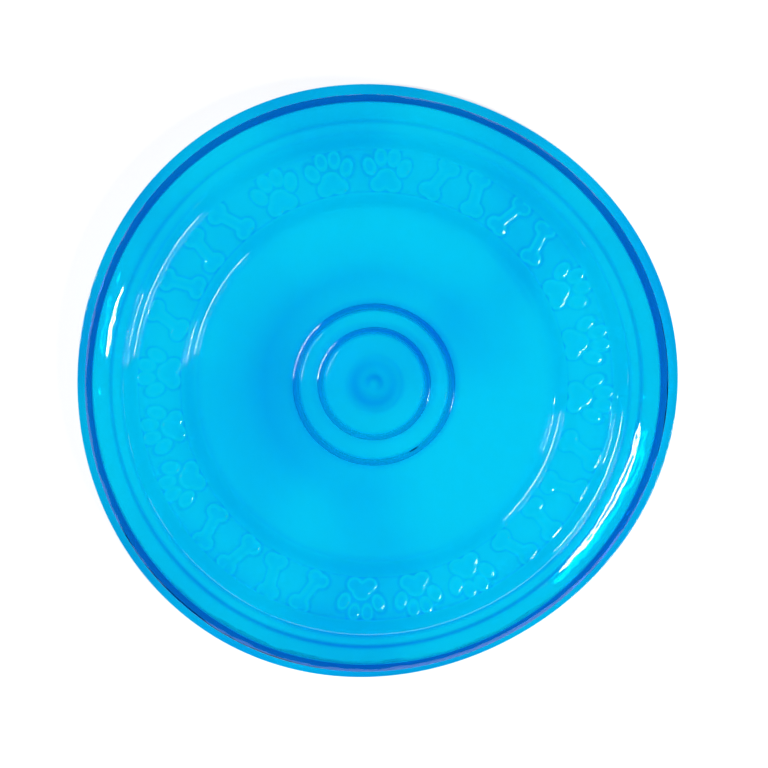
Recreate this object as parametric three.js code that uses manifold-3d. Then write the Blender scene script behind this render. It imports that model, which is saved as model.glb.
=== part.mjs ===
// Flying disc for dogs: one soft, clear blue rubber moulding with a ring of paws and bones.
// Millimetres, +Z up. The origin is on the disc's axis, in the plane that its rim stands on.
// The disc lies as it is thrown and as it rests on a table: plate on top, rim pointing down.

import * as THREE from "three";
import { mergeVertices } from "three/addons/utils/BufferGeometryUtils.js";
import Module from "manifold-3d";

// Overall sizes.
const DISC_RADIUS = 110;
const PLATE_TOP = 22;
const WALL = 3.4; // thickness of the plate

// Centre: a low dome in the middle of a round hollow that goes down in two steps.
const DOME_RADIUS = 10.8;
const DOME_RISE = 0.6;
const STEP_DEPTH = 4.0;
const STEP_EDGE_RADIUS = 3.0; // rounding of each step's upper edge
const STEP_RISERS = [
  { top: 27.4, under: 29.9 },
  { top: 18.5, under: 21.0 },
];

// Two round-topped ridges with the band of ornament between them.
const RIDGE_RADII = [67.3, 89.2];
const RIDGE_HEIGHT = 1.3;
const RIDGE_CREST = 3.0;
const RIDGE_FOOT = 0.6;
const RIDGE_SLOPE_DEG = 44;

// Shoulder, rim wall and lip.
const SHOULDER_START = 92.2;
const SHOULDER_RADIUS = 21.76;
const SHOULDER_CENTRE = 90.8;
const SHOULDER_END_DEG = 44.5;
const WALL_RADIUS = 106.1;
const INNER_WALL_RADIUS = 102.7;
const LIP_HEIGHT = 3.6;
const LIP_FILLET = 0.5;
const FOOT_FILLET = 0.6;

// The hollow side of the shoulder: a small step down, then an arc to the corner under the wall.
const UNDER_STEP_START = 94.9;
const UNDER_STEP_END = 96.7;
const UNDER_STEP_DROP = 0.8;
const HOLLOW_RADIUS = 24;
const HOLLOW_CORNER = 0.8;

// Raised ornament on the band.
const RELIEF_HEIGHT = 0.3;
const RELIEF_ROOT = 0.4; // how far each raised shape is sunk into the plate, to join it
const GROUPS = 4;
const PAWS_IN_GROUP = 3;
const PAW_SPACING_DEG = 15.1;
const PAW_PAD_RADIUS = 74.5; // from the disc's axis to the middle of a paw's pad
const BONE_LEANS_DEG = [21, -12.5, 12.5, -21];
const BONE_SPACING_DEG = 10.5;
const BONE_CENTRE_RADIUS = 78.8;
const BONE_LENGTH = 15.6;
const BONE_SHAFT_HALF = 1.35;
const BONE_KNOB_RADIUS = 1.95;
const BONE_KNOB_OFFSET = 1.6;

// How finely round shapes are drawn.
const DISC_SEGMENTS = 64;
const SHOULDER_STEPS = 5;
const CREST_STEPS = 4;
const EDGE_STEPS = 3;
const FILLET_STEPS = 2;
const TOE_SEGMENTS = 8;
const LOBE_STEPS = 4;

const RUBBER = new THREE.MeshStandardMaterial({
  name: "clear_blue_rubber",
  color: 0x12a9e6,
  roughness: 0.12,
  metalness: 0,
  transparent: true,
  opacity: 0.6,
});

/** Points along an arc, both ends included. Angles are in degrees, anticlockwise from +X. */
function arc(x, y, radius, fromDeg, toDeg, steps) {
  const points = [];
  for (let i = 0; i <= steps; i++) {
    const angle = THREE.MathUtils.degToRad(fromDeg + ((toDeg - fromDeg) * i) / steps);
    points.push(new THREE.Vector2(x + radius * Math.cos(angle), y + radius * Math.sin(angle)));
  }
  return points;
}

/** The low dome in the middle of the lowest floor. */
function domePoints() {
  const floor = PLATE_TOP - STEP_DEPTH * STEP_RISERS.length;
  const sphere = (DOME_RADIUS ** 2 + DOME_RISE ** 2) / (2 * DOME_RISE);
  const halfDeg = THREE.MathUtils.radToDeg(Math.asin(DOME_RADIUS / sphere));
  return arc(0, floor + DOME_RISE - sphere, sphere, 90, 90 - halfDeg, EDGE_STEPS);
}

/** The steps of the hollow's upper side, from the lowest floor outward and up to the plate. */
function stepPoints() {
  return STEP_RISERS.map(({ top }, i) => {
    const level = PLATE_TOP - STEP_DEPTH * i;
    const edge = arc(top + STEP_EDGE_RADIUS, level - STEP_EDGE_RADIUS, STEP_EDGE_RADIUS, 180, 90, EDGE_STEPS);
    return [new THREE.Vector2(top, level - STEP_DEPTH), ...edge];
  })
    .reverse()
    .flat();
}

/** One ridge on the plate: a hollow foot, a round crest and a hollow foot, all tangent. */
function ridgePoints(radius) {
  const slope = THREE.MathUtils.degToRad(RIDGE_SLOPE_DEG);
  const roundingDrop = (RIDGE_CREST + RIDGE_FOOT) * (1 - Math.cos(slope));
  const flank = (RIDGE_HEIGHT - roundingDrop) / Math.tan(slope);
  const halfWidth = (RIDGE_CREST + RIDGE_FOOT) * Math.sin(slope) + flank;
  const foot = (x, fromDeg, toDeg) => arc(x, PLATE_TOP + RIDGE_FOOT, RIDGE_FOOT, fromDeg, toDeg, 1);
  const crestCentre = PLATE_TOP + RIDGE_HEIGHT - RIDGE_CREST;
  return [
    ...foot(radius - halfWidth, -90, -90 + RIDGE_SLOPE_DEG),
    ...arc(radius, crestCentre, RIDGE_CREST, 90 + RIDGE_SLOPE_DEG, 90 - RIDGE_SLOPE_DEG, CREST_STEPS),
    ...foot(radius + halfWidth, -90 - RIDGE_SLOPE_DEG, -90),
  ];
}

/** How far an arc that leaves the level at the shoulder's centre has dropped at a radius. */
function shoulderDrop(radius, arcRadius) {
  return arcRadius - Math.sqrt(arcRadius ** 2 - (radius - SHOULDER_CENTRE) ** 2);
}

/** The disc's upper side from the axis outward, then down the rim to the foot: (radius, height). */
function outerSide() {
  const startDeg = 90 - THREE.MathUtils.radToDeg(Math.asin((SHOULDER_START - SHOULDER_CENTRE) / SHOULDER_RADIUS));
  const shoulderZ = PLATE_TOP - SHOULDER_RADIUS;
  const shoulder = arc(
    SHOULDER_CENTRE,
    shoulderZ,
    SHOULDER_RADIUS,
    startDeg,
    90 - SHOULDER_END_DEG,
    SHOULDER_STEPS,
  );
  return [
    ...domePoints(),
    ...stepPoints(),
    ...RIDGE_RADII.flatMap(ridgePoints),
    ...shoulder,
    new THREE.Vector2(WALL_RADIUS, shoulder.at(-1).y - LIP_FILLET),
    new THREE.Vector2(WALL_RADIUS, LIP_HEIGHT),
    ...arc(DISC_RADIUS - LIP_FILLET, LIP_HEIGHT - LIP_FILLET, LIP_FILLET, 90, 0, FILLET_STEPS),
    ...arc(DISC_RADIUS - FOOT_FILLET, FOOT_FILLET, FOOT_FILLET, 0, -90, FILLET_STEPS),
  ];
}

/** The hollow side of the shoulder, from the corner under the wall inward to the plate's underside. */
function hollowShoulder() {
  const plate = PLATE_TOP - WALL;
  const run = INNER_WALL_RADIUS - HOLLOW_CORNER - SHOULDER_CENTRE;
  const tilt = Math.asin(run / (HOLLOW_RADIUS - HOLLOW_CORNER));
  const tiltDeg = THREE.MathUtils.radToDeg(tilt);
  const end = SHOULDER_CENTRE + HOLLOW_RADIUS * Math.sin(tilt);
  const below = plate - UNDER_STEP_DROP;
  const cornerX = INNER_WALL_RADIUS - HOLLOW_CORNER;
  const cornerZ = below - shoulderDrop(end, HOLLOW_RADIUS) - HOLLOW_CORNER * Math.cos(tilt);
  const stepDeg = THREE.MathUtils.radToDeg(Math.asin((UNDER_STEP_END - SHOULDER_CENTRE) / HOLLOW_RADIUS));
  return [
    ...arc(cornerX, cornerZ, HOLLOW_CORNER, 0, 90 - tiltDeg, FILLET_STEPS),
    ...arc(SHOULDER_CENTRE, below - HOLLOW_RADIUS, HOLLOW_RADIUS, 90 - tiltDeg, 90 - stepDeg, EDGE_STEPS).slice(1),
    new THREE.Vector2(UNDER_STEP_START, plate - shoulderDrop(UNDER_STEP_START, HOLLOW_RADIUS)),
    new THREE.Vector2(SHOULDER_CENTRE, plate),
  ];
}

/** The hollow underside from the foot inward and up, back to the axis: (radius, height). */
function innerSide() {
  const plate = PLATE_TOP - WALL;
  const risers = STEP_RISERS.flatMap(({ under }, i) => [
    new THREE.Vector2(under, plate - STEP_DEPTH * i),
    new THREE.Vector2(under, plate - STEP_DEPTH * (i + 1)),
  ]);
  return [
    ...arc(INNER_WALL_RADIUS + FOOT_FILLET, FOOT_FILLET, FOOT_FILLET, -90, -180, FILLET_STEPS),
    ...hollowShoulder(),
    ...risers,
    new THREE.Vector2(0, plate - STEP_DEPTH * STEP_RISERS.length),
  ];
}

/** The whole shell, turned about the Z axis. */
function shellGeometry() {
  const profile = [...outerSide(), ...innerSide()].reverse();
  const shell = new THREE.LatheGeometry(profile, DISC_SEGMENTS);
  return shell.rotateX(Math.PI / 2);
}

/** A raised shape on the band, turned to face outward at an angle around the disc. */
function raised(outline, radius, aroundDeg, leanDeg) {
  const shape = new THREE.ExtrudeGeometry(new THREE.Shape(outline), {
    depth: RELIEF_HEIGHT + RELIEF_ROOT,
    bevelEnabled: false,
  });
  shape.rotateZ(THREE.MathUtils.degToRad(leanDeg));
  shape.translate(radius, 0, PLATE_TOP - RELIEF_ROOT);
  return shape.rotateZ(THREE.MathUtils.degToRad(aroundDeg));
}

/** A toe: an oval, long way outward. */
function toeOutline(x, y) {
  const TOE_HALF_LENGTH = 2.6;
  const TOE_HALF_WIDTH = 1.65;
  return new THREE.EllipseCurve(x, y, TOE_HALF_LENGTH, TOE_HALF_WIDTH).getPoints(TOE_SEGMENTS).slice(0, -1);
}

/** A paw's pad: a domed outer side and two lobes on the inner side. +X points outward. */
function padOutline() {
  const LOBE_RADIUS = 2.1;
  const LOBE_X = -1.5;
  const LOBE_Y = 2.8;
  const CROWN_X = -0.9;
  const CROWN_RADIUS = 4.3;
  return [
    ...arc(CROWN_X, 0, CROWN_RADIUS, -65, 65, LOBE_STEPS),
    ...arc(LOBE_X, LOBE_Y, LOBE_RADIUS, 80, 240, LOBE_STEPS),
    ...arc(LOBE_X, -LOBE_Y, LOBE_RADIUS, 120, 280, LOBE_STEPS),
  ];
}

/** A bone: two knobs at each end of a straight shaft. +X points outward. */
function boneOutline() {
  const knobX = BONE_LENGTH / 2 - BONE_KNOB_RADIUS;
  const knob = (x, y, fromDeg, toDeg) => arc(x, y, BONE_KNOB_RADIUS, fromDeg, toDeg, LOBE_STEPS);
  const neckX = knobX - BONE_KNOB_RADIUS;
  return [
    new THREE.Vector2(-neckX, -BONE_SHAFT_HALF),
    new THREE.Vector2(neckX, -BONE_SHAFT_HALF),
    ...knob(knobX, -BONE_KNOB_OFFSET, -140, 40),
    ...knob(knobX, BONE_KNOB_OFFSET, -40, 140),
    new THREE.Vector2(neckX, BONE_SHAFT_HALF),
    new THREE.Vector2(-neckX, BONE_SHAFT_HALF),
    ...knob(-knobX, BONE_KNOB_OFFSET, 40, 220),
    ...knob(-knobX, -BONE_KNOB_OFFSET, 140, 320),
  ];
}

/** Every raised shape of the ornament: groups of paws on the X and Y axes, bones between them. */
function ornament() {
  const shapes = [];
  for (let group = 0; group < GROUPS; group++) {
    const pawsDeg = (360 / GROUPS) * group;
    for (let i = 0; i < PAWS_IN_GROUP; i++) {
      const aroundDeg = pawsDeg + (i - (PAWS_IN_GROUP - 1) / 2) * PAW_SPACING_DEG;
      shapes.push(...pawShapes(aroundDeg));
    }
    const bonesDeg = pawsDeg + 180 / GROUPS;
    BONE_LEANS_DEG.forEach((leanDeg, i) => {
      const aroundDeg = bonesDeg + (i - (BONE_LEANS_DEG.length - 1) / 2) * BONE_SPACING_DEG;
      shapes.push(raised(boneOutline(), BONE_CENTRE_RADIUS, aroundDeg, leanDeg));
    });
  }
  return shapes;
}

/** One paw: its pad and four toes. */
function pawShapes(aroundDeg) {
  const OUTER_TOE = { x: 5.2, y: 6.2 };
  const INNER_TOE = { x: 8.6, y: 2.4 };
  const shapes = [raised(padOutline(), PAW_PAD_RADIUS, aroundDeg, 0)];
  for (const toe of [OUTER_TOE, INNER_TOE]) {
    for (const side of [-1, 1]) {
      shapes.push(raised(toeOutline(toe.x, toe.y * side), PAW_PAD_RADIUS, aroundDeg, 0));
    }
  }
  return shapes;
}

/** A closed geometry as a solid that can be joined to others. */
function solidOf(wasm, geometry) {
  geometry.deleteAttribute("normal");
  geometry.deleteAttribute("uv");
  const merged = mergeVertices(geometry, 1e-4);
  return new wasm.Manifold(
    new wasm.Mesh({
      numProp: 3,
      vertProperties: new Float32Array(merged.attributes.position.array),
      triVerts: new Uint32Array(merged.index.array),
    }),
  );
}

/** A joined solid as a geometry. */
function geometryOf(solid) {
  const mesh = solid.getMesh();
  const geometry = new THREE.BufferGeometry();
  geometry.setAttribute("position", new THREE.BufferAttribute(mesh.vertProperties, 3));
  geometry.setIndex(new THREE.BufferAttribute(mesh.triVerts, 1));
  geometry.computeVertexNormals();
  return geometry;
}

/** The disc as one moulding: the shell with its ornament joined on. */
function discMesh(wasm) {
  let solid = solidOf(wasm, shellGeometry());
  for (const shape of ornament()) {
    solid = solid.add(solidOf(wasm, shape));
  }
  const disc = new THREE.Mesh(geometryOf(solid), RUBBER);
  disc.name = "disc";
  return disc;
}

const wasm = await Module();
wasm.setup();

const flyingDisc = new THREE.Group();
flyingDisc.name = "flying_disc";
flyingDisc.add(discMesh(wasm));

export default flyingDisc;
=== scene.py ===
"""A clear blue rubber flying disc for dogs, lying on a white table under two umbrella lights.

Lengths in the constants are millimetres unless a name says otherwise. The frame is in metres.
"""

import math

import bpy
import numpy as np
from mathutils import Matrix, Vector


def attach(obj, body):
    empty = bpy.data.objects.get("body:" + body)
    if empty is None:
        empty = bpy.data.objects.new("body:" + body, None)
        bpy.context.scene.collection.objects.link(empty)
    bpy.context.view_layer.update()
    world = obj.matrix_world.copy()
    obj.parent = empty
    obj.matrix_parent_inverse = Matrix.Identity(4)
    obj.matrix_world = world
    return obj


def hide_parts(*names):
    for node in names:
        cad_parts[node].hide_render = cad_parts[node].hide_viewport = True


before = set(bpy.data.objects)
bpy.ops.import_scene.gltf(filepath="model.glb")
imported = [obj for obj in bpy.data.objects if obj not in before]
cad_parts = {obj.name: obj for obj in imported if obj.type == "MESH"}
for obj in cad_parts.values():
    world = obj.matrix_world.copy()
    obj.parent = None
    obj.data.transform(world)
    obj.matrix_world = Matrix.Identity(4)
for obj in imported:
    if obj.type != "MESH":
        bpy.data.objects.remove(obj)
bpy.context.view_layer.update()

MM = 0.001

# Plate: a flat sheet with two round ridges and a stepped hollow in its middle.
PLATE_TOP = 22.0
WALL = 3.4
RIDGE = dict(crest=3.0, foot=0.6, slope_deg=44, height=1.3)
INNER_RIDGE = dict(radius=67.3, **RIDGE)
OUTER_RIDGE = dict(radius=89.2, **RIDGE)
STEP_DEPTH = 4.0
TOP_EDGES = (30.5, 21.6)
UNDER_EDGES = (30.0, 21.1)
TOP_STEP = dict(crest=3.0, foot=0.7, slope_deg=63)
UNDER_STEP_SHAPE = dict(crest=0.1, foot=0.1, slope_deg=89.6)
DOME_RADIUS = 10.8
DOME_HEIGHT = 0.6
UNDER_BULGE = 0.85
GATE_RIPPLE = 0.12
GATE_PITCH = 2.4
GATE_REACH = 6.5

# Rim: a wide round shoulder, an upright wall and a flat lip.
SHOULDER_START = 90.8
SHOULDER_RADIUS = 21.76
SHOULDER_END_DEG = 44.5
WALL_RADIUS = 106.1
WALL_UNDERCUT = 0.4
DISC_RADIUS = 110.0
LIP_HEIGHT = 3.6
LIP_FILLET = 0.5
FOOT_FILLET = 0.6
INNER_WALL_RADIUS = 102.7
INNER_SHOULDER_RADIUS = 24.0
INNER_CORNER = 0.8
UNDER_STEP = dict(radius=95.8, half=0.9, height=0.45)

# Ornament on the band between the ridges: groups of paws with groups of bones between them.
BAND = (70.5, 86.0)
RELIEF = 0.3
RELIEF_EDGE = 0.5
GROUPS = 4
PAWS_IN_GROUP = 3
PAW_SPACING = math.radians(15.1)
PAD_RADIUS = 74.5
PAD_LOBES = ((0.9, 0.0, 3.1), (-1.4, 2.7, 2.3), (-1.4, -2.7, 2.3))
TOES = ((5.0, 6.3, 24.0), (8.7, 2.4, 7.0))
TOE_HALF_LENGTH = 2.7
TOE_HALF_WIDTH = 1.8
TOE_INSET = 1.9
BONE_RADIUS = 78.8
BONE_SPACING = math.radians(10.5)
BONE_LEANS = [math.radians(a) for a in (21, -12.5, 12.5, -21)]
SHAFT_HALF_LENGTH = 4.5
SHAFT_HALF_WIDTH = 1.35
KNOB_RADIUS = 2.0
KNOB_ALONG = 5.8
KNOB_ACROSS = 1.55
CORNER_SHARPNESS = 3.0
FAR_OUTSIDE = -10.0

# The soft rim is a little out of round: slightly oval, with three soft lobes.
OVAL = 0.8
OVAL_TOWARD_DEG = 10.0
LOBES = 1.3
LOBES_TOWARD_DEG = -10.0
ROUND_UP_TO = 60.0
LIP_SHARE = 0.35
LIP_ROOT = 104.0
LIP_REACH = 6.0

# How finely the disc is drawn: vertices in a ring, in the hollow, outside it and on the band.
HUB = 34.0
HUB_SEGMENTS = 132
SEGMENTS = 2 * HUB_SEGMENTS
BAND_SEGMENTS = 4 * SEGMENTS

# How much of red, green and blue light a metre of the rubber swallows (per metre).
ABSORB = (1900.0, 86.0, 27.0)

# Painted light and shade of the skin along moulded edges: a pale outline of painted light with a darker
# halo of painted shade outside it.
PAINTED_EDGE_LIGHT_AND_SHADE = 0.3
PAINTED_OUTLINE_LIGHT_WIDTH = 0.42
HALO_SHADE = 0.7
HALO_SHADE_OUT = 1.0
HALO_SHADE_WIDTH = 0.6

# Darker rings of painted shade, where the edges of the rim, ridges and hollow show through the rubber.
SHADED_RINGS = (
    dict(radius=108.4, width=2.6, depth=0.62, swing=0.0, toward_deg=0),
    dict(radius=103.6, width=1.3, depth=0.4, swing=0.3, toward_deg=-90),
    dict(radius=96.1, width=0.8, depth=0.8, swing=0.5, toward_deg=-90),
    dict(radius=92.0, width=0.7, depth=0.5, swing=0.7, toward_deg=-90),
    dict(radius=86.0, width=0.5, depth=0.35, swing=0.5, toward_deg=-90),
    dict(radius=70.4, width=0.45, depth=0.5, swing=-0.2, toward_deg=-90),
    dict(radius=64.3, width=0.45, depth=0.35, swing=0.2, toward_deg=-90),
    dict(radius=38.0, width=9.0, depth=0.3, swing=1.0, toward_deg=125),
    dict(radius=28.9, width=1.3, depth=1.1, swing=0.45, toward_deg=45),
    dict(radius=19.9, width=1.3, depth=1.1, swing=0.5, toward_deg=45),
    dict(radius=10.4, width=0.7, depth=0.2, swing=1.0, toward_deg=-40),
    dict(radius=7.2, width=2.6, depth=0.55, swing=0.5, toward_deg=-120),
    dict(radius=2.4, width=1.3, depth=0.45, swing=0.9, toward_deg=60),
)

# The skin: cloudy blotches of painted shade, standing in for light and shadow cast through the disc
# onto the table; gloss and the ripple of the mould's polish.
INDEX_OF_REFRACTION = 1.5
SHADE_BLOTCHES = dict(scale=24.0, detail=0.5)
SHADE_BLOTCH_RANGE = (0.3, 0.68)
SHADE_BLOTCH_TINT = (0.73, 0.87)
BLUE_RANGE = (0.4, 1.0)
BLUE_KEPT = (0.89, 1.0)
WEAR = dict(scale=260.0, detail=4.0)
WEAR_RANGE = (0.4, 0.75)
GLOSS = (0.02, 0.09)
RIPPLE = dict(scale=75.0, detail=1.0)
RIPPLE_STRENGTH = 1.0
RIPPLE_DEPTH = 0.0006

# Stage, in metres. The camera's right-hand side points this way round the disc.
CAMERA_RIGHT_DEG = -11.7
CAMERA_TILT_DEG = 4.0
CAMERA_DISTANCE = 1.5
CAMERA_REACH = 10.0
SENSOR_WIDTH = 36.0
FRAME_WIDTH = 0.2834
AIM_RIGHT = 0.00365
AIM_UP = -0.00107
FLOOR_HALF = 3.0
FLOOR_DROP = 0.0002
FLOOR_WHITE = 0.92
FLOOR_ROUGHNESS = 0.8
FLOOR_GLOW = 0.8
ROOM_LIGHT = 0.01
LIGHT_DISTANCE = 1.0
HEAD_GAP = 0.1
HEAD_HALF = (0.5, 0.3)
HEAD_BLACK = 0.01
KEY = dict(azimuth_deg=-43.5, from_zenith_deg=42.0, half_width=0.23, half_height=0.1, brightness=28.0)
FILL = dict(azimuth_deg=160.8, from_zenith_deg=46.0, half_width=0.09, half_height=0.05, brightness=60.0)


def smooth(t):
    t = np.clip(t, 0, 1)
    return t * t * (3 - 2 * t)


def ridge(r, radius, crest, foot, slope_deg, height):
    """Height of a ridge that runs round the disc: a round crest, straight flanks and hollow feet."""
    slope = math.radians(slope_deg)
    x = np.abs(r - radius)
    shoulder_x, shoulder_z = crest * math.sin(slope), height - crest * (1 - math.cos(slope))
    foot_z = foot * (1 - math.cos(slope))
    flank_x = shoulder_x + (shoulder_z - foot_z) / math.tan(slope)
    end_x = flank_x + foot * math.sin(slope)
    on_crest = height - crest + np.sqrt(np.clip(crest**2 - x**2, 0, None))
    on_flank = shoulder_z - (x - shoulder_x) * math.tan(slope)
    on_foot = foot - np.sqrt(np.clip(foot**2 - (end_x - x) ** 2, 0, None))
    rising = np.where(x < shoulder_x, on_crest, np.where(x < flank_x, on_flank, on_foot))
    return np.where(x < end_x, rising, 0)


def ridge_stations(radius, crest, foot, slope_deg, height):
    """Radii, going outward, where a ridge's foot, crest and far foot need a ring of vertices."""
    slope = math.radians(slope_deg)
    turns = np.sin(np.linspace(0, slope, 8))
    straight = height - (crest + foot) * (1 - math.cos(slope))
    end = (crest + foot) * math.sin(slope) + straight / math.tan(slope)
    half = np.concatenate([crest * turns, end - foot * turns[::-1], [end + 0.02]])
    return np.concatenate([radius - half[::-1], radius + half[1:]])


def arc_drop(r, start, radius):
    """How far an arc that leaves the level at start has dropped at r."""
    run = np.clip(r - start, 0, radius)
    return radius - np.sqrt(radius**2 - run**2)


def step_down(x, crest, foot, slope_deg, height):
    """Drop of a step whose upper edge is at x = 0: a round edge, a straight riser, a hollow foot."""
    slope = math.radians(slope_deg)
    crest_x, crest_z = crest * math.sin(slope), crest * (1 - math.cos(slope))
    foot_x, foot_z = foot * math.sin(slope), foot * (1 - math.cos(slope))
    riser_x = crest_x + (height - crest_z - foot_z) / math.tan(slope)
    on_crest = crest - np.sqrt(np.clip(crest**2 - x**2, 0, None))
    on_riser = crest_z + (x - crest_x) * math.tan(slope)
    on_foot = height - foot + np.sqrt(np.clip(foot**2 - (riser_x + foot_x - x) ** 2, 0, None))
    drop = np.where(x < crest_x, on_crest, np.where(x < riser_x, on_riser, on_foot))
    return np.where(x <= 0, 0, np.where(x < riser_x + foot_x, drop, height))


def step_width(crest, foot, slope_deg):
    slope = math.radians(slope_deg)
    straight = STEP_DEPTH - (crest + foot) * (1 - math.cos(slope))
    return (crest + foot) * math.sin(slope) + straight / math.tan(slope)


def step_stations(edge, crest, foot, slope_deg):
    """Radii, going outward, where a step's round edge and hollow foot need a ring of vertices."""
    turns = np.sin(np.radians(np.linspace(0, slope_deg, 10)))
    start = edge - step_width(crest, foot, slope_deg)
    round_edge = (edge - crest * turns)[::-1]
    return np.concatenate([[start - 0.02], start + foot * turns, round_edge, [edge + 0.02]])


def hollow(r, edges, shape):
    return -sum(step_down(edge - r, height=STEP_DEPTH, **shape) for edge in edges)


def dome(r, height):
    return height * np.clip(1 - (r / DOME_RADIUS) ** 2, 0, 1)


def top_height(r):
    z = PLATE_TOP + ridge(r, **INNER_RIDGE) + ridge(r, **OUTER_RIDGE) + hollow(r, TOP_EDGES, TOP_STEP)
    gate_rings = np.cos(2 * np.pi * r / GATE_PITCH) * np.exp(-((r / GATE_REACH) ** 2))
    z = z + dome(r, DOME_HEIGHT) + GATE_RIPPLE * gate_rings
    return z - arc_drop(r, SHOULDER_START, SHOULDER_RADIUS)


def under_height(r):
    """Height of the hidden side, before the shoulder's arc is taken off."""
    step = UNDER_STEP["height"] * smooth((r - UNDER_STEP["radius"]) / (2 * UNDER_STEP["half"]) + 0.5)
    return PLATE_TOP - WALL + hollow(r, UNDER_EDGES, UNDER_STEP_SHAPE) - step - dome(r, UNDER_BULGE)


def arc(x, z, radius, start_deg, end_deg, steps):
    angles = np.radians(np.linspace(start_deg, end_deg, steps + 1))
    return np.stack([x + radius * np.cos(angles), z + radius * np.sin(angles)], 1)


def upper_rows():
    """(radius, height) from the axis out to the end of the shoulder's arc."""
    end = SHOULDER_START + SHOULDER_RADIUS * math.sin(math.radians(SHOULDER_END_DEG))
    middle = np.linspace(0, 13, 27)
    steps = [step_stations(TOP_EDGES[1], **TOP_STEP), [24], step_stations(TOP_EDGES[0], **TOP_STEP)]
    plate = np.linspace(33, 62, 5)
    band = np.linspace(BAND[0], BAND[1], 40)
    shoulder = [np.linspace(92.6, 99, 17), np.linspace(100, end, 7)]
    r = np.concatenate([
        middle, [15.5], *steps, plate, ridge_stations(**INNER_RIDGE), band,
        ridge_stations(**OUTER_RIDGE), *shoulder])
    return np.stack([r, top_height(r)], 1)


def inner_shoulder_end():
    """Where the hidden side's arc meets the small corner under the wall, and how steep it is there."""
    run = (INNER_WALL_RADIUS - INNER_CORNER - SHOULDER_START) / (INNER_SHOULDER_RADIUS - INNER_CORNER)
    return SHOULDER_START + INNER_SHOULDER_RADIUS * run, math.asin(run)


def outer_wall_rows():
    """(radius, height) from the end of the shoulder down to the root of the lip."""
    end_deg = 90 - SHOULDER_END_DEG
    cosine, sine = math.cos(math.radians(end_deg)), math.sin(math.radians(end_deg))
    corner = (WALL_RADIUS - SHOULDER_START - SHOULDER_RADIUS * cosine) / (1 - cosine)
    corner_z = PLATE_TOP - SHOULDER_RADIUS * (1 - sine) - corner * sine
    root_x = WALL_RADIUS - WALL_UNDERCUT + LIP_FILLET
    return np.concatenate([
        arc(WALL_RADIUS - corner, corner_z, corner, end_deg, 0, 8)[1:],
        arc(root_x, LIP_HEIGHT + LIP_FILLET, LIP_FILLET, 180, 270, 3)])


def inner_wall_rows():
    """(radius, height) up the inside of the wall and round the small corner under the shoulder."""
    inner_end, tilt = inner_shoulder_end()
    z = float(under_height(np.array(inner_end)))
    z -= arc_drop(inner_end, SHOULDER_START, INNER_SHOULDER_RADIUS)
    z -= INNER_CORNER * math.cos(tilt)
    turn = arc(INNER_WALL_RADIUS - INNER_CORNER, z, INNER_CORNER, 0, 90 - math.degrees(tilt), 6)
    return np.concatenate([[[INNER_WALL_RADIUS, z / 2]], turn])


def rim_rows():
    """(radius, height) down the wall, round the lip and up inside to the underside of the shoulder."""
    return np.concatenate([
        outer_wall_rows(),
        arc(DISC_RADIUS - LIP_FILLET, LIP_HEIGHT - LIP_FILLET, LIP_FILLET, 90, 0, 4),
        arc(DISC_RADIUS - FOOT_FILLET, FOOT_FILLET, FOOT_FILLET, 0, -90, 4),
        arc(INNER_WALL_RADIUS + FOOT_FILLET, FOOT_FILLET, FOOT_FILLET, -90, -180, 4),
        inner_wall_rows()])


def under_rows():
    """(radius, height) under the plate, from the shoulder's inner arc back to the axis."""
    end, _ = inner_shoulder_end()
    outer_step = step_stations(UNDER_EDGES[0], **UNDER_STEP_SHAPE)[::-1]
    inner_step = step_stations(UNDER_EDGES[1], **UNDER_STEP_SHAPE)[::-1]
    shoulder = [np.linspace(end - 0.3, 97.2, 7), np.linspace(96.8, 94.8, 8), [94, 92]]
    plate = [90, 86, 80, 70, 60, 50, 40, 32]
    r = np.concatenate([
        *shoulder, plate, outer_step, [27, 24], inner_step, [17.5, 14], np.linspace(11, 0, 10)])
    return np.stack([r, under_height(r) - arc_drop(r, SHOULDER_START, INNER_SHOULDER_RADIUS)], 1)


def blend_max(*values):
    """The largest of several inset distances, with the corners between them rounded."""
    total = sum(np.exp(CORNER_SHARPNESS * np.clip(v, -8, 8)) for v in values)
    return np.log(total) / CORNER_SHARPNESS


def disc_inset(x, y, cx, cy, radius):
    return radius - np.hypot(x - cx, y - cy)


def toe(x, y, cx, cy, lean):
    u = (x - cx) * math.cos(lean) + (y - cy) * math.sin(lean)
    v = (y - cy) * math.cos(lean) - (x - cx) * math.sin(lean)
    return TOE_INSET * (1 - np.sqrt((u / TOE_HALF_LENGTH) ** 2 + (v / TOE_HALF_WIDTH) ** 2))


def paw(x, y):
    """How far inside a paw a point is; x runs outward from its pad's middle, y around the disc."""
    pad = blend_max(*[disc_inset(x, y, *lobe) for lobe in PAD_LOBES])
    toes = [
        toe(x, y, out, side * across, side * math.radians(lean_deg))
        for out, across, lean_deg in TOES for side in (-1, 1)]
    return np.maximum.reduce([pad, *toes])


def bone(x, y):
    """How far inside a bone's edge a point is; x runs along it."""
    shaft = SHAFT_HALF_WIDTH - np.hypot(np.clip(np.abs(x) - SHAFT_HALF_LENGTH, 0, None), y)
    knobs = [
        disc_inset(x, y, cx, cy, KNOB_RADIUS)
        for cx in (-KNOB_ALONG, KNOB_ALONG) for cy in (-KNOB_ACROSS, KNOB_ACROSS)]
    return blend_max(shaft, *knobs)


def local(r, theta, radius, around, lean):
    """Coordinates of points of the band about a shape's own middle."""
    turn = (theta - around + math.pi) % (2 * math.pi) - math.pi
    x = r * np.cos(turn) - radius
    y = r * np.sin(turn)
    return x * math.cos(lean) + y * math.sin(lean), y * math.cos(lean) - x * math.sin(lean)


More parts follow.
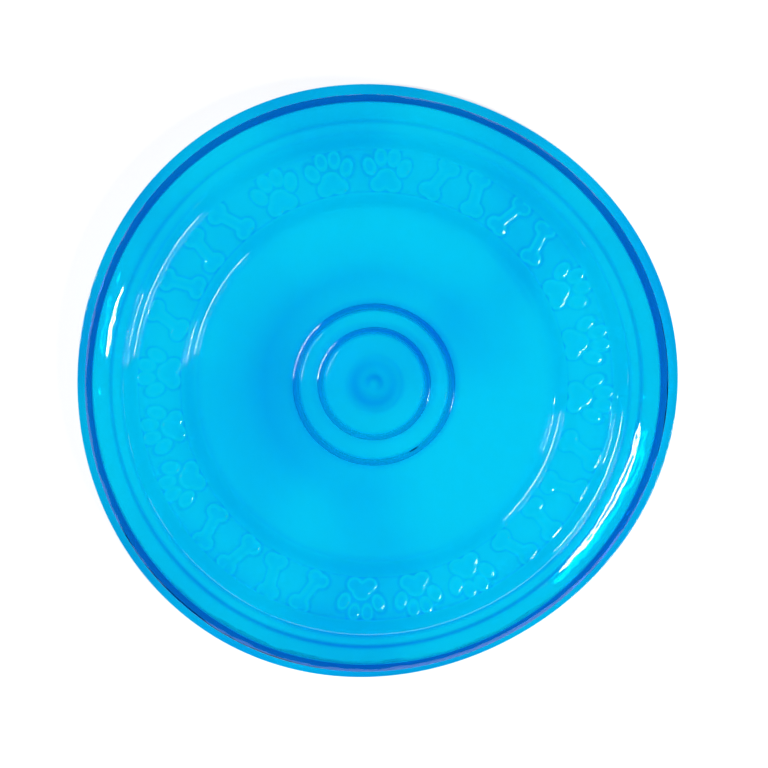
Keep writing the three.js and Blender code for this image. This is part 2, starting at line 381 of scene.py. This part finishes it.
def ornament(r, theta):
    """How far inside the nearest raised paw or bone a point of the band is, below 0 outside."""
    inset = np.full_like(theta, FAR_OUTSIDE)
    for group in range(GROUPS):
        paws_at = 2 * math.pi * group / GROUPS
        for i in range(PAWS_IN_GROUP):
            around = paws_at + (i - (PAWS_IN_GROUP - 1) / 2) * PAW_SPACING
            inset = np.maximum(inset, paw(*local(r, theta, PAD_RADIUS, around, 0)))
        for i, lean in enumerate(BONE_LEANS):
            around = paws_at + math.pi / GROUPS + (i - (len(BONE_LEANS) - 1) / 2) * BONE_SPACING
            inset = np.maximum(inset, bone(*local(r, theta, BONE_RADIUS, around, lean)))
    return inset


def out_of_round(r, theta):
    """How far the soft rim is pushed outward; the round hollow keeps its shape."""
    over_plate = smooth((r - ROUND_UP_TO) / (WALL_RADIUS - ROUND_UP_TO))
    over_lip = smooth((r - LIP_ROOT) / LIP_REACH)
    grow = (1 - LIP_SHARE) * over_plate + LIP_SHARE * over_lip
    oval = OVAL * np.cos(2 * (theta - math.radians(OVAL_TOWARD_DEG)))
    lobes = LOBES * np.cos(3 * (theta - math.radians(LOBES_TOWARD_DEG)))
    return grow * (oval + lobes)


def ring_shade(r, theta, radius, width, depth, swing, toward_deg):
    """A soft ring of painted shade along a moulded edge, deeper towards one side."""
    round_the_disc = 1 + swing * np.cos(theta - math.radians(toward_deg))
    return depth * round_the_disc * math.exp(-(((r - radius) / width) ** 2))


def painted_edge_light_and_shade(r, theta, inset):
    """Painted light and shade along moulded edges: above 0 on the pale outlines of painted light, below
    0 in halos and rings of painted shade.
    """
    painted_outline_light = np.exp(-((inset / PAINTED_OUTLINE_LIGHT_WIDTH) ** 2))
    halo_shade = HALO_SHADE * np.exp(-(((inset + HALO_SHADE_OUT) / HALO_SHADE_WIDTH) ** 2))
    return painted_outline_light - halo_shade - sum(ring_shade(r, theta, **ring) for ring in SHADED_RINGS)


def ring_of_vertices(r, z, fine):
    """Positions and painted edge light and shade of one ring of vertices; a fine ring carries the
    ornament.
    """
    count = BAND_SEGMENTS if fine else SEGMENTS if r > HUB else HUB_SEGMENTS
    theta = np.arange(count) * 2 * math.pi / count
    inset = ornament(r, theta) if fine else np.full(count, FAR_OUTSIDE)
    height = z + RELIEF * smooth(inset / RELIEF_EDGE + 0.5)
    radius = r + out_of_round(r, theta)
    position = np.stack([radius * np.cos(theta), radius * np.sin(theta), height], 1) * MM
    return position, painted_edge_light_and_shade(r, theta, inset)


def join_rings(a, na, b, nb):
    """Faces between two rings, whose vertices start at a and b and which may differ in number."""
    if na == nb:
        return [(a + i, b + i, b + (i + 1) % nb, a + (i + 1) % na) for i in range(na)]
    faces = []
    coarse, fine, flip = (a, b, False) if na < nb else (b, a, True)
    n, m = min(na, nb), max(na, nb)
    step = m // n
    middle = step // 2
    for i in range(n):
        c0, c1 = coarse + i, coarse + (i + 1) % n
        f = [fine + (i * step + k) % m for k in range(step + 1)]
        strip = [(c0, f[k], f[k + 1]) for k in range(middle)]
        strip.append((c0, f[middle], c1))
        strip += [(c1, f[k], f[k + 1]) for k in range(middle, step)]
        faces += [face[::-1] for face in strip] if flip else strip
    return faces


def all_rings():
    """Positions and painted edge light and shade, ring by ring, with a single vertex at each end of the
    axis.
    """
    upper = upper_rows()
    rows = np.concatenate([upper, rim_rows(), under_rows()])
    rings = [(np.array([[0, 0, rows[0, 1] * MM]]), np.zeros(1))]
    for i, (r, z) in enumerate(rows[1:-1], start=1):
        rings.append(ring_of_vertices(r, z, i < len(upper) and BAND[0] <= r <= BAND[1]))
    rings.append((np.array([[0, 0, rows[-1, 1] * MM]]), np.zeros(1)))
    return rings


def all_faces(counts):
    """Faces of the whole skin: a fan at each end of the axis and strips between the rings."""
    starts = np.concatenate([[0], np.cumsum(counts)[:-1]]).tolist()
    first, last = counts[1], counts[-2]
    faces = [(0, 1 + i, 1 + (i + 1) % first) for i in range(first)]
    for k in range(1, len(counts) - 2):
        faces += join_rings(starts[k], counts[k], starts[k + 1], counts[k + 1])
    ring = starts[-2]
    return faces + [(ring + (i + 1) % last, ring + i, starts[-1]) for i in range(last)]


def disc_mesh():
    positions, shades = zip(*all_rings())
    faces = all_faces([len(ring) for ring in positions])
    mesh = bpy.data.meshes.new("flying_disc")
    mesh.from_pydata(np.concatenate(positions).tolist(), [], faces)
    mesh.polygons.foreach_set("use_smooth", [True] * len(faces))
    # The painted light and shade of edges and rings rides on the mesh as an attribute.
    mesh.attributes.new("painted_light_and_shade", "FLOAT", "POINT").data.foreach_set("value", np.concatenate(shades))
    mesh.update()
    return mesh


def noise(nodes, links, scale, detail):
    """Cloudy noise over the object's own coordinates, in features per metre."""
    place = nodes.new("ShaderNodeTexCoord")
    cloud = nodes.new("ShaderNodeTexNoise")
    cloud.inputs["Scale"].default_value = scale
    cloud.inputs["Detail"].default_value = detail
    links.new(place.outputs["Object"], cloud.inputs["Vector"])
    return cloud.outputs["Fac"]


def ramp(nodes, links, value, span, result):
    """A smooth change from result[0] to result[1] as a value goes from span[0] to span[1]."""
    node = nodes.new("ShaderNodeMapRange")
    node.interpolation_type = "SMOOTHSTEP"
    numbers = {"From Min": span[0], "From Max": span[1], "To Min": result[0], "To Max": result[1]}
    for name, number in numbers.items():
        node.inputs[name].default_value = number
    links.new(value, node.inputs["Value"])
    return node.outputs["Result"]


def tint_skin(nodes, links, skin):
    """Colour: blotches of painted shade, pale outlines of painted light round the raised shapes and
    darker rings of painted shade.
    """
    # Painted shade: cloudy blotches of darker tint over the whole skin.
    shade_blotches = ramp(nodes, links, noise(nodes, links, **SHADE_BLOTCHES), SHADE_BLOTCH_RANGE, SHADE_BLOTCH_TINT)
    # Painted light and shade along moulded edges and rings, read from the mesh.
    edge = nodes.new("ShaderNodeAttribute")
    edge.attribute_name = "painted_light_and_shade"
    tint = nodes.new("ShaderNodeMath")
    tint.operation = "MULTIPLY_ADD"
    tint.use_clamp = True
    links.new(edge.outputs["Fac"], tint.inputs[0])
    tint.inputs[1].default_value = PAINTED_EDGE_LIGHT_AND_SHADE
    links.new(shade_blotches, tint.inputs[2])
    colour = nodes.new("ShaderNodeCombineColor")
    for channel in ("Red", "Green"):
        links.new(tint.outputs["Value"], colour.inputs[channel])
    links.new(ramp(nodes, links, tint.outputs["Value"], BLUE_RANGE, BLUE_KEPT), colour.inputs["Blue"])
    links.new(colour.outputs["Color"], skin.inputs["Base Color"])


def polish_skin(nodes, links, skin):
    """Gloss with faint wear, and the shallow ripple of the mould's polish."""
    wear = noise(nodes, links, **WEAR)
    links.new(ramp(nodes, links, wear, WEAR_RANGE, GLOSS), skin.inputs["Roughness"])
    ripple = nodes.new("ShaderNodeBump")
    ripple.inputs["Strength"].default_value = RIPPLE_STRENGTH
    ripple.inputs["Distance"].default_value = RIPPLE_DEPTH
    links.new(noise(nodes, links, **RIPPLE), ripple.inputs["Height"])
    links.new(ripple.outputs["Normal"], skin.inputs["Normal"])


def rubber():
    """Clear soft blue rubber: a glossy skin over a body that swallows red first, then green."""
    material = bpy.data.materials.new("clear_blue_rubber")
    material.use_nodes = True
    nodes, links = material.node_tree.nodes, material.node_tree.links
    skin = nodes["Principled BSDF"]
    skin.inputs["Transmission Weight"].default_value = 1
    skin.inputs["IOR"].default_value = INDEX_OF_REFRACTION
    tint_skin(nodes, links, skin)
    polish_skin(nodes, links, skin)
    body = nodes.new("ShaderNodeVolumeAbsorption")
    strongest = max(ABSORB)
    body.inputs["Color"].default_value = [1 - a / strongest for a in ABSORB] + [1]
    body.inputs["Density"].default_value = strongest
    links.new(body.outputs["Volume"], nodes["Material Output"].inputs["Volume"])
    return material


def flying_disc():
    disc = bpy.data.objects.new("flying_disc", disc_mesh())
    bpy.context.scene.collection.objects.link(disc)
    disc.data.materials.append(rubber())
    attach(disc, "root")
    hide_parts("disc")


def direction(azimuth_deg, from_zenith_deg):
    a, t = math.radians(azimuth_deg), math.radians(from_zenith_deg)
    return Vector((math.cos(a) * math.sin(t), math.sin(a) * math.sin(t), math.cos(t)))


def rectangle(name, half_width, half_height):
    """A flat rectangle that belongs to the stage."""
    w, h = half_width, half_height
    mesh = bpy.data.meshes.new(name)
    mesh.from_pydata([(-w, -h, 0), (w, -h, 0), (w, h, 0), (-w, h, 0)], [], [(0, 1, 2, 3)])
    piece = bpy.data.objects.new(name, mesh)
    bpy.context.scene.collection.objects.link(piece)
    return piece


def paint(name, piece, grey):
    material = bpy.data.materials.new(name)
    material.use_nodes = True
    coat = material.node_tree.nodes["Principled BSDF"]
    coat.inputs["Base Color"].default_value = (grey, grey, grey, 1)
    piece.data.materials.append(material)
    return coat


def floor():
    """A matt white table that glows a little, so it stays white under the disc."""
    table = rectangle("floor", FLOOR_HALF, FLOOR_HALF)
    table.location.z = -FLOOR_DROP
    coat = paint("white_table", table, FLOOR_WHITE)
    coat.inputs["Roughness"].default_value = FLOOR_ROUGHNESS
    coat.inputs["Specular IOR Level"].default_value = 0.0
    coat.inputs["Emission Color"].default_value = (1, 1, 1, 1)
    coat.inputs["Emission Strength"].default_value = FLOOR_GLOW


def umbrella(name, azimuth_deg, from_zenith_deg, half_width, half_height, brightness):
    """An oval umbrella light a metre away, with its dark lamp head in front of its middle."""
    out = direction(azimuth_deg, from_zenith_deg)
    across = Vector((0, 0, 1)).cross(out).normalized()
    facing = Matrix((across, out.cross(across), out)).transposed().to_euler()
    light = bpy.data.lights.new(name, "AREA")
    light.shape = "ELLIPSE"
    light.size = 2 * half_width
    light.size_y = 2 * half_height
    light.energy = brightness * math.pi**2 * half_width * half_height
    lamp = bpy.data.objects.new(name, light)
    lamp.location = out * LIGHT_DISTANCE
    lamp.rotation_euler = facing
    bpy.context.scene.collection.objects.link(lamp)
    head = rectangle(name + "_head", HEAD_HALF[0] * half_width, HEAD_HALF[1] * half_height)
    head.location = out * (LIGHT_DISTANCE - HEAD_GAP)
    head.rotation_euler = facing
    paint(name + "_head", head, HEAD_BLACK)


def camera():
    lens = bpy.data.cameras.new("camera")
    lens.sensor_width = SENSOR_WIDTH
    lens.lens = SENSOR_WIDTH * CAMERA_DISTANCE / FRAME_WIDTH
    lens.clip_end = CAMERA_REACH
    view = bpy.data.objects.new("camera", lens)
    bpy.context.scene.collection.objects.link(view)
    right = direction(CAMERA_RIGHT_DEG, 90)
    up = direction(CAMERA_RIGHT_DEG + 90, 90)
    tilt = math.radians(CAMERA_TILT_DEG)
    back = Vector((0, 0, math.cos(tilt))) + up * math.sin(tilt)
    view.location = right * AIM_RIGHT + up * AIM_UP + back * CAMERA_DISTANCE
    true_up = back.cross(right)
    view.rotation_euler = Matrix([[right[i], true_up[i], back[i]] for i in range(3)]).to_euler()
    bpy.context.scene.camera = view


def room():
    world = bpy.data.worlds.new("studio")
    world.use_nodes = True
    air = world.node_tree.nodes["Background"]
    air.inputs["Color"].default_value = (1, 1, 1, 1)
    air.inputs["Strength"].default_value = ROOM_LIGHT
    bpy.context.scene.world = world
    bpy.context.scene.view_settings.view_transform = "Standard"


flying_disc()
floor()
umbrella("key", **KEY)
umbrella("fill", **FILL)
room()
camera()
